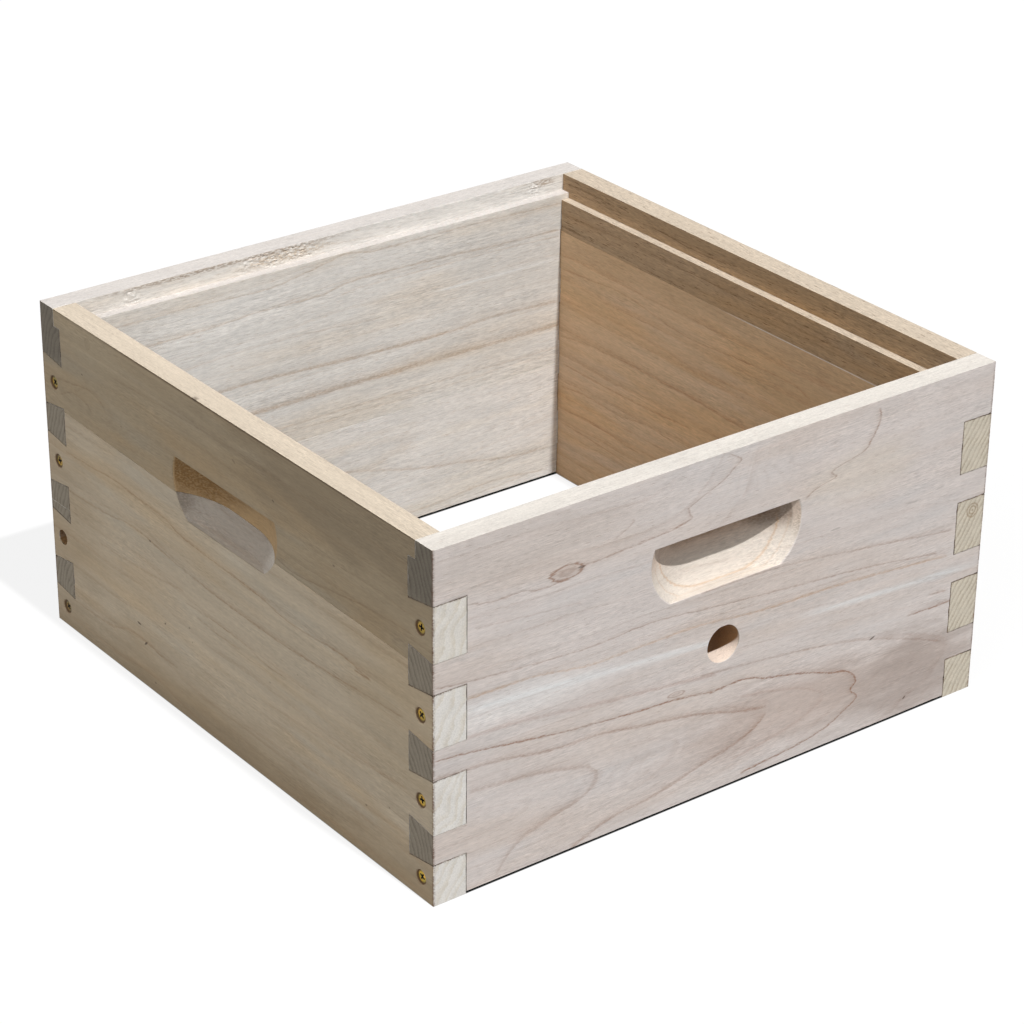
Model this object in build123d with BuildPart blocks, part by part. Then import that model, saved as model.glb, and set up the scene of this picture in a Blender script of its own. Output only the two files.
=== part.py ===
# A square hive box: four boards with through dovetails at the corners, edge-glued
# from planks, screwed through the tails. Millimetres, +Z up, the origin at the middle
# of the foot. The front board, with the flight hole, faces -Y.
import os
from math import atan, ceil, cos, degrees, pi, radians, sqrt, tan

from build123d import *

os.makedirs("parts", exist_ok=True)

# The box over its outer faces, and its boards
box_width = 430.0
box_depth = 430.0
box_height = 232.0
board_thick = 23.5
end_board_lift = 1.5  # the front and rear boards stop this far above the foot of the side boards

# Rebates along the inner top edges
frame_rest_width = 7.0
frame_rest_drop = 12.0
side_rebate_width = 6.5
side_rebate_drop = 16.0

# Through dovetails, with the tails on the side boards, measured at the corner edge
first_tail_drop = 35.2
tail_width = 36.3
pin_width = 20.0
least_tail = 15.0  # the lowest tail is cut off by the foot, but not to less than this
flank_run = 7.0  # a flank leans one part in this many
joint_gap = 0.2

# Glue lines between planks, below the rim
left_glue_drop_front = 79.1
left_glue_drop_rear = 69.3
right_glue_drop = 39.5
rear_glue_drop = 142.0
glue_film = 0.1

# The round flight hole in the front board
flight_hole_diameter = 25.0
flight_hole_drop = 129.0

# Finger recesses, cut by a large disc cutter with a crowned rim that travels a little along the board
recess_drop = 48.4
recess_height = 39.8
recess_depth = 17.0
cutter_radius = 73.0
cutter_travel = 23.6
crown_radius = 48.4
crown_drop = 12.3  # where the rim is widest, below the top of the recess

# Countersunk cross-head wood screws, one through each tail
screw_diameter = 4.0
screw_head_diameter = 8.0
screw_head_angle = 90.0
screw_length = 50.0
screw_point = 5.0
screw_point_diameter = 0.6
screw_inset = 12.4  # from the corner edge
screw_sink = 1.2  # head below the board's face
deep_screw_sink = 6.5  # one screw at the rear left corner is driven this deep
deep_screw_tail = 2  # counted from the top, from 0
screw_sides = 12  # facets round a screw
cross_length = 4.2
cross_width = 1.0
cross_depth = 1.5
screw_clearance = 0.1

overcut = 1.0  # how far a cut runs past the face that it opens

# Worked out from the sizes above
half_width = box_width / 2
half_depth = box_depth / 2
tail_pitch = tail_width + pin_width
tail_count = ceil((box_height - first_tail_drop - least_tail) / tail_pitch)
tail_tops = [box_height - first_tail_drop - i * tail_pitch for i in range(tail_count)]
tail_feet = [max(top - tail_width, 0.0) for top in tail_tops]
screw_heights = [(top + foot) / 2 for top, foot in zip(tail_tops, tail_feet)]
screw_radius = screw_diameter / 2
head_radius = screw_head_diameter / 2
head_flare = tan(radians(screw_head_angle / 2))
facet_share = cos(pi / screw_sides)  # how far out a facet's middle lies, against its corners
head_cone = (head_radius - screw_radius) * facet_share / head_flare
point_taper = degrees(atan((screw_diameter - screw_point_diameter) / 2 * facet_share / screw_point))
sink_radius = head_radius + screw_clearance + screw_sink * head_flare
rim_strip = board_thick - side_rebate_width  # what the rebate leaves of a side board's top


def tail_points(end, top, foot, inner, outer, gap):
    """Corners of one tail in Y and Z: its flanks run from inner to outer, measured from
    the outer face of the end board, and gap widens it into the socket that takes it."""
    rise_inner = inner / flank_run
    rise_outer = outer / flank_run
    low_inner = foot + rise_inner - gap
    low_outer = foot + rise_outer - gap
    if foot <= 0:
        low_inner = low_outer = -gap
    y_inner = end * (half_depth - inner)
    y_outer = end * (half_depth - outer)
    return [
        (y_inner, top - rise_inner + gap),
        (y_outer, top - rise_outer + gap),
        (y_outer, low_outer),
        (y_inner, low_inner),
    ]


def side_plane(side):
    """Plane on a side board's outer face: X along the box's Y, Y up."""
    return Plane(origin=(side * half_width, 0, 0), x_dir=(0, side, 0), z_dir=(side, 0, 0))


def screw_planes(side, end):
    """One plane at each screw of a corner, at the face, pointing out of the board."""
    return [
        Plane(
            origin=(side * half_width, end * (half_depth - screw_inset), height),
            x_dir=(0, side, 0),
            z_dir=(side, 0, 0),
        )
        for height in screw_heights
    ]


def sink_of(side, end, number):
    """How far a screw's head lies below the face."""
    is_deep = side < 0 and end > 0 and number == min(deep_screw_tail, tail_count - 1)
    return deep_screw_sink if is_deep else screw_sink


# What the crowned disc cutter sweeps in a finger recess: it turns about an upright axis and
# travels along X, with the middle of its travel at the origin and its rim widest at Z 0
crown_rise = recess_height - crown_drop  # from the floor of the recess
crown_centre = cutter_radius - crown_radius
roof_radius = crown_centre + sqrt(crown_radius**2 - crown_drop**2)
floor_radius = crown_centre + sqrt(crown_radius**2 - crown_rise**2)
with BuildSketch() as cutter_profile:
    with BuildLine():
        roof = Line((0, crown_drop), (roof_radius, crown_drop))
        rim = ThreePointArc(roof @ 1, (cutter_radius, 0), (floor_radius, -crown_rise))
        floor = Line(rim @ 1, (0, -crown_rise))
        Line(floor @ 1, roof @ 0)
    make_face()
with BuildPart() as cutter:
    with BuildSketch(Plane.XZ):
        add(cutter_profile.sketch)
    revolve(axis=Axis.Z)
with BuildPart() as recess_cutter:
    with Locations((-cutter_travel / 2, 0, 0), (cutter_travel / 2, 0, 0)):
        add(cutter.part)
    with BuildSketch(Plane.YZ):
        add(cutter_profile.sketch)
        mirror(about=Plane.YZ)
    extrude(amount=cutter_travel / 2, both=True)
cutter_standoff = cutter_radius - recess_depth  # from the board's outer face to the cutter's axis
crown_height = box_height - recess_drop - crown_drop


def end_board(end):
    """The front or rear board: pins at both ends, frame rest, finger recess, screw pilots."""
    height = box_height - end_board_lift
    with BuildPart() as board:
        with Locations((0, end * (half_depth - board_thick / 2), end_board_lift + height / 2)):
            Box(box_width, board_thick, height)
        # Frame rest along the inner top edge, and deeper notches for the tongues at its ends
        rest_y = end * (half_depth - board_thick + frame_rest_width / 2 - overcut / 2)
        with Locations((0, rest_y, box_height - frame_rest_drop / 2 + overcut / 2)):
            Box(
                box_width,
                frame_rest_width + overcut,
                frame_rest_drop + overcut,
                mode=Mode.SUBTRACT,
            )
        notch_drop = frame_rest_drop + joint_gap
        notch_width = rim_strip + joint_gap
        notch_x = half_width - notch_width / 2 + overcut / 2
        with Locations(
            *[(side * notch_x, rest_y, box_height - notch_drop / 2 + overcut / 2) for side in (-1, 1)]
        ):
            Box(
                notch_width + overcut,
                frame_rest_width + overcut,
                notch_drop + overcut,
                mode=Mode.SUBTRACT,
            )
        # Sockets for the tails of both side boards
        for side in (-1, 1):
            with BuildSketch(side_plane(side)):
                for top, foot in zip(tail_tops, tail_feet):
                    points = tail_points(end, top, foot, board_thick + overcut, -overcut, joint_gap)
                    with BuildLine():
                        Polyline([(side * y, z) for y, z in points], close=True)
                    make_face()
            extrude(amount=-(board_thick + joint_gap), mode=Mode.SUBTRACT)
            for number, plane in enumerate(screw_planes(side, end)):
                with Locations(plane):
                    Hole(
                        radius=screw_radius + screw_clearance,
                        depth=sink_of(side, end, number) + screw_length + overcut,
                    )
        with Locations((0, end * (half_depth + cutter_standoff), crown_height)):
            add(recess_cutter.part, mode=Mode.SUBTRACT)
    return board.part


def side_plank(side, glue_drop_front, glue_drop_rear, is_upper):
    """One plank of a side board, above or below its glue line, with the tails rooted in it."""
    shoulder = half_depth - board_thick - joint_gap
    film = glue_film / 2 if is_upper else -glue_film / 2
    glue_middle = box_height - (glue_drop_front + glue_drop_rear) / 2
    glue_slope = (glue_drop_front - glue_drop_rear) / box_depth
    own_tails = [i for i in range(tail_count) if (screw_heights[i] > glue_middle) == is_upper]
    tongue_reach = shoulder + frame_rest_width
    with BuildPart() as plank:
        with BuildSketch(side_plane(side)):
            far_edge = box_height if is_upper else 0
            glue_front = (-shoulder, glue_middle - shoulder * glue_slope + film)
            glue_rear = (shoulder, glue_middle + shoulder * glue_slope + film)
            body = [glue_front, glue_rear, (shoulder, far_edge), (-shoulder, far_edge)]
            with BuildLine():
                Polyline([(side * y, z) for y, z in body], close=True)
            make_face()
            if is_upper:
                # Tongues that fill the notches left by the frame rests
                with Locations((0, box_height - frame_rest_drop / 2)):
                    Rectangle(2 * tongue_reach, frame_rest_drop)
            for end in (-1, 1):
                for i in own_tails:
                    points = tail_points(end, tail_tops[i], tail_feet[i], board_thick + joint_gap, 0, 0)
                    with BuildLine():
                        Polyline([(side * y, z) for y, z in points], close=True)
                    make_face()
        extrude(amount=-board_thick)
        # Rebate along the inner top edge
        rebate_x = side * (half_width - board_thick + side_rebate_width / 2 - overcut / 2)
        with Locations((rebate_x, 0, box_height - side_rebate_drop / 2 + overcut / 2)):
            Box(
                side_rebate_width + overcut,
                box_depth + 2 * overcut,
                side_rebate_drop + overcut,
                mode=Mode.SUBTRACT,
            )
        for end in (-1, 1):
            planes = screw_planes(side, end)
            for i in own_tails:
                extra = sink_of(side, end, i) - screw_sink
                with Locations(planes[i].offset(-extra)):
                    CounterSinkHole(
                        radius=screw_radius + screw_clearance,
                        counter_sink_radius=sink_radius,
                        counter_sink_angle=screw_head_angle,
                        depth=board_thick + overcut,
                    )
                if extra > 0:
                    with Locations(planes[i]):
                        Hole(radius=sink_radius, depth=extra)
        with Locations(Location((side * (half_width + cutter_standoff), 0, crown_height), (0, 0, 90))):
            add(recess_cutter.part, mode=Mode.SUBTRACT)
    return plank


front_blank = end_board(-1)
rear_blank = end_board(1)

# The front board is one wide plank, with the flight hole through it
with BuildPart() as front_board:
    add(front_blank)
    flight_plane = Plane(
        origin=(0, -half_depth, box_height - flight_hole_drop), x_dir=(1, 0, 0), z_dir=(0, -1, 0)
    )
    with Locations(flight_plane):
        Hole(radius=flight_hole_diameter / 2, depth=board_thick + overcut)

# The rear board is parted into two planks along its glue line
rear_glue = Plane(origin=(0, 0, box_height - rear_glue_drop), z_dir=(0, 0, 1))
with BuildPart() as rear_upper_plank:
    add(rear_blank)
    split(bisect_by=rear_glue.offset(glue_film / 2), keep=Keep.TOP)

with BuildPart() as rear_lower_plank:
    add(rear_blank)
    split(bisect_by=rear_glue.offset(-glue_film / 2), keep=Keep.BOTTOM)

left_upper_plank = side_plank(-1, left_glue_drop_front, left_glue_drop_rear, is_upper=True)
left_lower_plank = side_plank(-1, left_glue_drop_front, left_glue_drop_rear, is_upper=False)
right_upper_plank = side_plank(1, right_glue_drop, right_glue_drop, is_upper=True)
right_lower_plank = side_plank(1, right_glue_drop, right_glue_drop, is_upper=False)

# One screw, pointing down from the top of its head at the origin
with BuildPart() as screw:
    with BuildSketch(Plane.XY):
        RegularPolygon(head_radius, screw_sides)
    extrude(amount=-head_cone, taper=screw_head_angle / 2)
    with BuildSketch(Plane.XY.offset(-head_cone)):
        RegularPolygon(screw_radius, screw_sides)
    extrude(amount=head_cone + screw_point - screw_length)
    with BuildSketch(Plane.XY.offset(screw_point - screw_length)):
        RegularPolygon(screw_radius, screw_sides)
    extrude(amount=-screw_point, taper=point_taper)
    with BuildSketch(Plane.XY):
        Rectangle(cross_length, cross_width)
        Rectangle(cross_width, cross_length)
    extrude(amount=-cross_depth, mode=Mode.SUBTRACT)

corner_names = {
    (-1, -1): "screws_front_left",
    (-1, 1): "screws_rear_left",
    (1, -1): "screws_front_right",
    (1, 1): "screws_rear_right",
}
screw_groups = {}
for (side, end), name in corner_names.items():
    seats = [
        plane.offset(-sink_of(side, end, number))
        for number, plane in enumerate(screw_planes(side, end))
    ]
    with BuildPart() as group:
        with Locations(*seats):
            add(screw.part)
    screw_groups[name] = group

pieces = {
    "front_board": front_board,
    "rear_upper_plank": rear_upper_plank,
    "rear_lower_plank": rear_lower_plank,
    "left_upper_plank": left_upper_plank,
    "left_lower_plank": left_lower_plank,
    "right_upper_plank": right_upper_plank,
    "right_lower_plank": right_lower_plank,
    **screw_groups,
}
for name, piece in pieces.items():
    piece.part.label = name
    export_step(piece.part, f"parts/{name}.step")
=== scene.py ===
import math
from types import SimpleNamespace

import bmesh
import bpy
from mathutils import Matrix, Vector, noise


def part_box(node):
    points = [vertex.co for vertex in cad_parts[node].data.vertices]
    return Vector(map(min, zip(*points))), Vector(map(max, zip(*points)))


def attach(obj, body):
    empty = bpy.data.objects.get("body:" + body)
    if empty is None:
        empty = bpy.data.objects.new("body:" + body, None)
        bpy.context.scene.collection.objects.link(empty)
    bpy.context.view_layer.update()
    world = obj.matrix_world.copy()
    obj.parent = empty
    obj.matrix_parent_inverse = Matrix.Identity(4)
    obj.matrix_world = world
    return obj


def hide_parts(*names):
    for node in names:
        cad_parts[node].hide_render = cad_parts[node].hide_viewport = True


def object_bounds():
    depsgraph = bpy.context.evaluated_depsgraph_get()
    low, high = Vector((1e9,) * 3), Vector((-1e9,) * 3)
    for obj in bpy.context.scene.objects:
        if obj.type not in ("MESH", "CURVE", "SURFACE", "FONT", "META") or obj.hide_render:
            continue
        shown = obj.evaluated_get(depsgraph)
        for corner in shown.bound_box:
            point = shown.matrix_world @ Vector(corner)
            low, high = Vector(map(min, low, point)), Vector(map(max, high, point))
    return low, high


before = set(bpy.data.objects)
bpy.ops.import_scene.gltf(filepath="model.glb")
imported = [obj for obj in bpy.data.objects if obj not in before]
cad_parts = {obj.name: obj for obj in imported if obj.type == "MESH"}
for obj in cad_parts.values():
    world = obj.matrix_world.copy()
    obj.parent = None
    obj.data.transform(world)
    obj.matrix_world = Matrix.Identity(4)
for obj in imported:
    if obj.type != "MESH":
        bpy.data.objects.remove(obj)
cadLow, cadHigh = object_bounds()
print("frame loaded,", len(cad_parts), "nodes")

# sizes read from the frame, in metres, and in millimetres for the materials
mm = 0.001
frontLow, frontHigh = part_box("front_board")
boardThick = frontHigh.y - frontLow.y
halfWidth = (cadHigh.x - cadLow.x) / 2
boxHeight = cadHigh.z - cadLow.z
thickMm, halfMm, heightMm = boardThick / mm, halfWidth / mm, boxHeight / mm


def pieceName(nodeName):
    first, *others = nodeName.split("_")
    return first + "".join(word.capitalize() for word in others)


def srgb(red, green, blue):
    linear = [((c / 255 + 0.055) / 1.055) ** 2.4 if c > 10 else c / 255 / 12.92 for c in (red, green, blue)]
    return (*linear, 1.0)


def bothWays(operation):
    # an operator and its reflected form
    return (lambda a, b: a.math(operation, a, b)), (lambda a, b: a.math(operation, b, a))


class Shade:
    # one socket of a material, so that maths on it reads as plain expressions
    def __init__(self, tree, socket=None):
        self.tree = tree
        self.socket = socket

    def node(self, kind, settings=None, inputs=None, output=0):
        made = self.tree.nodes.new(kind)
        for name, value in (settings or {}).items():
            if name == "stops":
                points = made.mapping.curves[0].points
                for stop in value[2:]:
                    points.new(*stop)
                for point, stop in zip(points, value):
                    point.location = stop
                    point.handle_type = "AUTO_CLAMPED"
                made.mapping.update()
            else:
                setattr(made, name, value)
        for name, value in (inputs or {}).items():
            feed(made, name, value)
        if isinstance(output, tuple):
            return [Shade(self.tree, made.outputs[o]) for o in output]
        return Shade(self.tree, made.outputs[output])

    def math(self, operation, *values):
        return self.node("ShaderNodeMath", {"operation": operation}, dict(enumerate(values)))

    __add__, __radd__ = bothWays("ADD")
    __sub__, __rsub__ = bothWays("SUBTRACT")
    __mul__, __rmul__ = bothWays("MULTIPLY")
    __truediv__, __rtruediv__ = bothWays("DIVIDE")
    __pow__, __rpow__ = bothWays("POWER")


# small helpers on shader values
def feed(node, name, value):
    # link a shade to a socket, or set a plain value on it
    if isinstance(value, Shade):
        value.tree.links.new(value.socket, node.inputs[name])
    else:
        node.inputs[name].default_value = value


def spread(value, low, high, how="LINEAR"):
    # 0 at the low end and 1 at the high end, straight between
    ends = {"Value": value, "From Min": low, "From Max": high}
    return value.node("ShaderNodeMapRange", {"interpolation_type": how}, ends)


def smooth(value, low, high):
    return spread(value, low, high, "SMOOTHSTEP")


def within(value, low, high, soft=0.5):
    # 1 between low and high, with soft ends
    return smooth(value, low - soft, low + soft) * smooth(value, high + soft, high - soft)


def curve(value, stops):
    # a curve through its stops, both ways from 0 to 1
    return value.node("ShaderNodeFloatCurve", {"stops": stops}, {"Value": value})


def hump(value, middle, wide):
    # a soft bell, 1 at the middle
    away = (value - middle) / wide
    return value.math("EXPONENT", away * away * -1)


def above(value):
    return value.math("MAXIMUM", value, 0.0)


def span(across, down):
    return across.math("SQRT", across * across + down * down)


def fraction(value):
    return value - value.math("FLOOR", value)


def atLeast(value, least):
    # 0 to 1 squeezed into least to 1
    return value * (1 - least) + least


def lateEdge(share, start, full, last):
    # the dark end of a ring: it grows, and stops short at the next ring
    return smooth(share, start, full) * smooth(share, 1.0, last)


def vector(x, y, z):
    maker = next(v for v in (x, y, z) if isinstance(v, Shade))
    return maker.node("ShaderNodeCombineXYZ", inputs={0: x, 1: y, 2: z})


def cloud(at, scale=1.0, detail=2.0, rough=0.5):
    return at.node(
        "ShaderNodeTexNoise",
        inputs={"Vector": at, "Scale": scale, "Detail": detail, "Roughness": rough},
    )


def blend(share, first, second, mode="MIX"):
    # a colour of three numbers is as picked on screen, 0 to 255, and made linear
    first, second = (srgb(*c) if isinstance(c, tuple) and len(c) == 3 else c for c in (first, second))
    maker = next(v for v in (share, first, second) if isinstance(v, Shade))
    return maker.node(
        "ShaderNodeMix",
        {"data_type": "RGBA", "blend_type": mode, "clamp_factor": True},
        {0: share, 6: first, 7: second},
        output=2,
    )


def shaded(colour, tone):
    return blend(1.0, colour, vector(tone, tone, tone), "MULTIPLY")


def startMaterial(name):
    material = bpy.data.materials.new(name)
    material.use_nodes = True
    tree = material.node_tree
    return material, tree.nodes["Principled BSDF"], Shade(tree)


def objectPlace(draw):
    # where the surface lies, in millimetres
    at = draw.node("ShaderNodeTexCoord", output="Object")
    x, y, z = draw.node("ShaderNodeSeparateXYZ", inputs={0: at}, output=(0, 1, 2))
    return x / mm, y / mm, z / mm


# figure of each board: u runs along the grain, v down from the rim, d in from the outer face, in millimetres,
# and a ring function counts the growth rings there
def frontRings(
    u, v, d, heart, heartFall, under, leave, depth, core, count, shift, climb, climbFrom, climbOver,
):
    # arches that open to the left: the heart leaves the face as u grows
    away = u * heartFall + heart - v
    reach = above(away) + above(away * -under)
    rho = span(reach, u * leave + d - depth)
    rings = u.math("LOGARITHM", rho / core + 1, math.e) * count - shift
    # towards the upper right the rings run out, so the lines climb
    return rings - above(climbOver - v) * smooth(u, *climbFrom) * climb


def rearUpperRings(u, v, d, swell, swellAt, swellDrop, start, lean, pitch):
    rise = hump(u, *swellAt) * swell * smooth(v, *swellDrop)
    return (v + rise - start + (thickMm - d) * lean) / pitch


def rearLowerRings(u, v, d, heart, heartClimb, leave, depth, flatten, pitch):
    off = u * leave + depth + (thickMm - d)
    away = v - heart + u * heartClimb
    return u.math("SQRT", away * away * flatten + off * off) / pitch


def leftUpperRings(u, v, d, swirl, swirlAt, swirlDrop, lean, climb, pitch):
    roll = hump(u, *swirlAt) * hump(v, *swirlDrop)
    return (v + d * lean - u * climb) / pitch - roll * swirl


def leftLowerRings(u, v, d, step, stepFrom, swell, swellAt, lean, start, pitch):
    rise = smooth(u, *stepFrom) * step + hump(u, *swellAt) * swell
    return (v + rise - d * lean - start) / pitch


def rightUpperRings(u, v, d, fall, lean, pitch):
    return (v + u * fall + (thickMm - d) * lean) / pitch


def rightLowerRings(u, v, d, lean, pitch, closer, closerFrom):
    deep = v + (thickMm - d) * lean
    return deep / pitch + above(deep - closerFrom) * closer


def trace(points, dark, wide=0.7, halo=0.35, fade=6, steep=False, tint=None):
    # a growth line that shows plainly: its points are (u, v), or (v, u) where it climbs
    return {
        "points": points, "dark": dark, "wide": wide, "halo": halo, "fade": fade, "steep": steep,
        "tint": tint,
    }


def spot(at, size, dark, tilt=0.0):
    return {"at": at, "size": size, "dark": dark, "tilt": tilt}


def gleam(start, end, wide, fade):
    # a silver streak
    return {"start": start, "end": end, "wide": wide, "fade": fade}


def cutLine(deep, wide, dark):
    # a ring that the cutter laid bare in the finger recess
    return {"deep": deep, "wide": wide, "dark": dark}


def zone(at, size, tint, share, deep=-5.0, tilt=0.0, grit=0.0, ragged=0.9, cut=False):
    # a patch where the wood is another colour, or where painted shade or painted light lies in a recess,
    # from this depth inwards or only in the finger recess, broken up where it has grit
    return {
        "at": at, "size": size, "tint": tint, "share": share, "deep": deep, "tilt": tilt, "grit": grit,
        "ragged": ragged, "cut": cut,
    }


plainBoard = {
    "ringLines": 0.1, "softness": 0.14, "fibre": 0.85, "fuzz": 0.4, "comb": 0.5, "band": 0.12, "pore": 0.18,
    "lines": [], "eyes": [], "specks": [], "streaks": [], "zones": [], "endKnots": [], "cutLines": [],
    "cutTint": (198, 152, 98), "sill": None, "bore": None, "slot": "pale_plank",
}
# sawn ends: colour, ring colour, how the rings run down and across, their pitch, bend and strength
pinEnd = {
    "base": (149, 139, 123), "line": (84, 72, 58), "down": 0.4, "across": 0.92, "pitch": 4.0, "strength": 0.5,
    "bend": 2.6, "topShade": 0.38,
}
leftTailEnd = {
    "base": (229, 224, 216), "line": (204, 190, 164), "down": 0.4, "across": 0.9, "pitch": 7.5,
    "strength": 0.4, "bend": 3.0, "topShade": 0.0,
}
rightTailEnd = {
    "base": (216, 207, 190), "line": (146, 119, 86), "down": 0.55, "across": -0.83, "pitch": 3.8,
    "strength": 0.48, "bend": 1.2, "topShade": 0.0,
}
rearBoard = plainBoard | {
    "side": "rear", "end": pinEnd, "rim": (207, 201, 196), "fresh": (222, 212, 198), "fibre": 1.2,
}
leftBoard = plainBoard | {
    "side": "left", "slot": "tan_plank", "end": leftTailEnd, "rim": (207, 193, 174), "softness": 0.2,
}
rightBoard = plainBoard | {
    "side": "right", "slot": "tan_plank", "end": rightTailEnd, "rim": (200, 185, 166), "ringLines": 0.2,
}
boards = {}
boards["front_board"] = plainBoard | {
    "side": "front", "rings": frontRings, "seed": 3.0,
    "figure": {
        "heart": 184.6, "heartFall": 0.0193, "under": 0.65, "leave": 0.125, "depth": 2.3, "core": 57.1,
        "count": 10, "shift": 0.13, "climbOver": 71.3, "climbFrom": (143, 285), "climb": 0.0494,
    },
    "pale": (219, 210, 205), "warm": (216, 204, 196), "cool": (213, 207, 204), "line": (142, 100, 72),
    "end": pinEnd, "rim": (217, 211, 203), "fresh": (222, 212, 200),
    "lines": [
        trace([(23, 40.7), (45, 44.8), (60, 44.6), (74, 47.5), (91, 47.6)], 0.5, 0.6),
        trace([(106, 42), (129, 41.4), (152, 40.1), (177, 38.1), (187, 35.6)], 0.6, 0.6),
        trace([(1.7, 213), (4.3, 217.7), (8.2, 222.5), (11.5, 218), (17, 211), (26, 189), (29, 183.4),
               (35.6, 186.5)], 0.5, 1.1, steep=True, fade=2),
        trace([(22.3, 142.4), (25, 141.8), (28.3, 136.4), (32.5, 127)], 0.3, 1.2, steep=True, fade=2),
        trace([(4.6, 332.4), (10, 334), (16.5, 332.6), (24.3, 327.5), (31.5, 320), (34.9, 304),
               (37.9, 296.3), (41.6, 299.8), (44.8, 285.7), (50, 275)], 0.6, 1.2, steep=True, fade=3),
        trace([(28, 57.5), (66, 61.8), (106, 65.4)], 0.22),
        trace([(1, 87.4), (23, 90.2), (73, 94.7), (117, 97.2), (150, 95.9), (211, 101.6), (274, 107.7),
               (332, 113.4), (392, 122.3)], 0.5, 0.6),
        trace([(195, 88.5), (257, 90.2), (322, 98.1), (404, 109.3)], 0.42),
        trace([(23, 101.4), (72, 103.1), (121, 109.5), (179, 109.5), (243, 115.4), (307, 118.2),
               (401, 126.5)], 0.5, 1.0, tint=(186, 142, 96)),
        trace([(1, 126), (23, 127), (66, 130), (115, 137), (166, 142.7), (211, 148.8)], 0.4, 1.6,
              tint=(172, 138, 124)),
        trace([(1, 134.7), (25, 137), (63, 143), (94, 147.6), (122, 150.6), (152, 153.5), (180, 155.4),
               (208, 159.9)], 0.8, 0.7),
        trace([(205, 160), (229, 159.3), (252, 164.9), (288, 173.7), (302, 178.5), (319, 182.9)],
              0.85, 0.7, fade=3),
        trace([(180, 312), (183, 319), (187.5, 325), (193.3, 327.2), (197.7, 323.3), (204.6, 329),
               (210.5, 321)], 0.9, 1.0, fade=2, steep=True),
        trace([(233, 226.6), (249, 225.3), (278.5, 222.9), (305, 217.8), (322, 210)], 0.8, 0.8),
        trace([(1, 146), (52, 150.8), (83, 156.6), (123, 159.1), (152, 164.2), (197, 172), (237, 182.8),
               (253, 185.6)], 0.5, 1.2, halo=0.5),
        trace([(99, 231), (133, 220.2), (154, 218.4), (175, 215.2), (200, 209), (232, 202), (243, 197.4),
               (253, 190)], 0.5, 1.4, halo=0.5),
        trace([(25, 163.3), (52, 166.3), (80, 170), (115, 178.6)], 0.34, 1.6, halo=0.6),
        trace([(177, 112), (185, 119), (191.7, 118), (199, 106)], 0.3, 2.0, halo=0.6, fade=3, steep=True),
        trace([(44.5, 227.7), (58, 213), (81, 204.4), (107, 198)], 0.34, 1.8, halo=0.6),
        trace([(197, 145.6), (245, 150.7), (302, 158.6), (339, 166.7), (371, 177), (401.5, 188.6)],
              0.34, 0.9),
        trace([(368, 159.7), (395, 160.7), (410, 160.5)], 0.85, 0.8, fade=9),
        trace([(386, 150.5), (404, 152)], 0.6, 0.7),
        trace([(230, 171), (262, 177), (285, 184), (300, 192)], 0.3, 1.2, tint=(166, 128, 110)),
        trace([(225, 214), (262, 209), (286, 203), (301, 196)], 0.3, 1.2, tint=(166, 128, 110)),
    ],
    "eyes": [
        spot((93.8, 42.4), (11.3, 4.5), 0.7),
        spot((179.0, 151.6), (6.0, 1.7), 0.5, 0.03),
    ],
    "specks": [
        spot((104.6, 42.2), (2.6, 0.9), 0.6),
        spot((339.3, 166.0), (2.8, 0.7), 0.8, -0.35),
        spot((371.3, 220.0), (1.6, 0.9), 0.8, -0.5),
        spot((302.0, 78.0), (5.0, 0.8), 0.22),
        spot((366.0, 78.5), (6.0, 0.8), 0.22, 0.05),
        spot((389.0, 75.5), (5.0, 0.7), 0.22, -0.1),
    ],
    "streaks": [gleam((10, 108), (232, 127), 2.6, 30), gleam((262, 129.5), (440, 141.5), 2.0, 45)],
    "zones": [
        zone((272, 193), (130, 30), (197, 180, 170), 0.75),
        zone((375, 205), (75, 40), (178, 164, 156), 0.8),
        zone((320, 45), (55, 22), (226, 214, 200), 0.5),
        zone((55, 116), (95, 14), (236, 232, 229), 0.75),
        zone((60, 20), (110, 24), (208, 197, 189), 0.6),
        # the next three are painted shade in the finger recess: warmer and darker under its roof, darkest at
        # the right
        zone((215, 53), (100, 20), (220, 199, 182), 1.0, deep=0.6, ragged=0.2, cut=True),
        zone((215, 51), (66, 14), (148, 116, 86), 0.9, deep=8.0, grit=0.3, cut=True),
        zone((262, 55), (24, 16), (88, 70, 54), 0.62, deep=4.0, grit=0.2, cut=True),
        zone((274, 64), (7, 17), (164, 146, 126), 0.55, deep=0.4, grit=0.9, cut=True),
    ],
    "cutLines": [cutLine(8.6, 0.4, 0.4), cutLine(5.0, 0.3, 0.2)],
    # the flight hole's wall is painted with the shadow of its rim, cast along the sun's slant
    "bore": {
        "at": (215, 129), "radius": 12.8, "lip": (0.2, 0.6), "slant": 1.83, "edge": 0.6,
        "burnt": (151, 114, 78), "clean": (232, 214, 199),
    },
}
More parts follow.
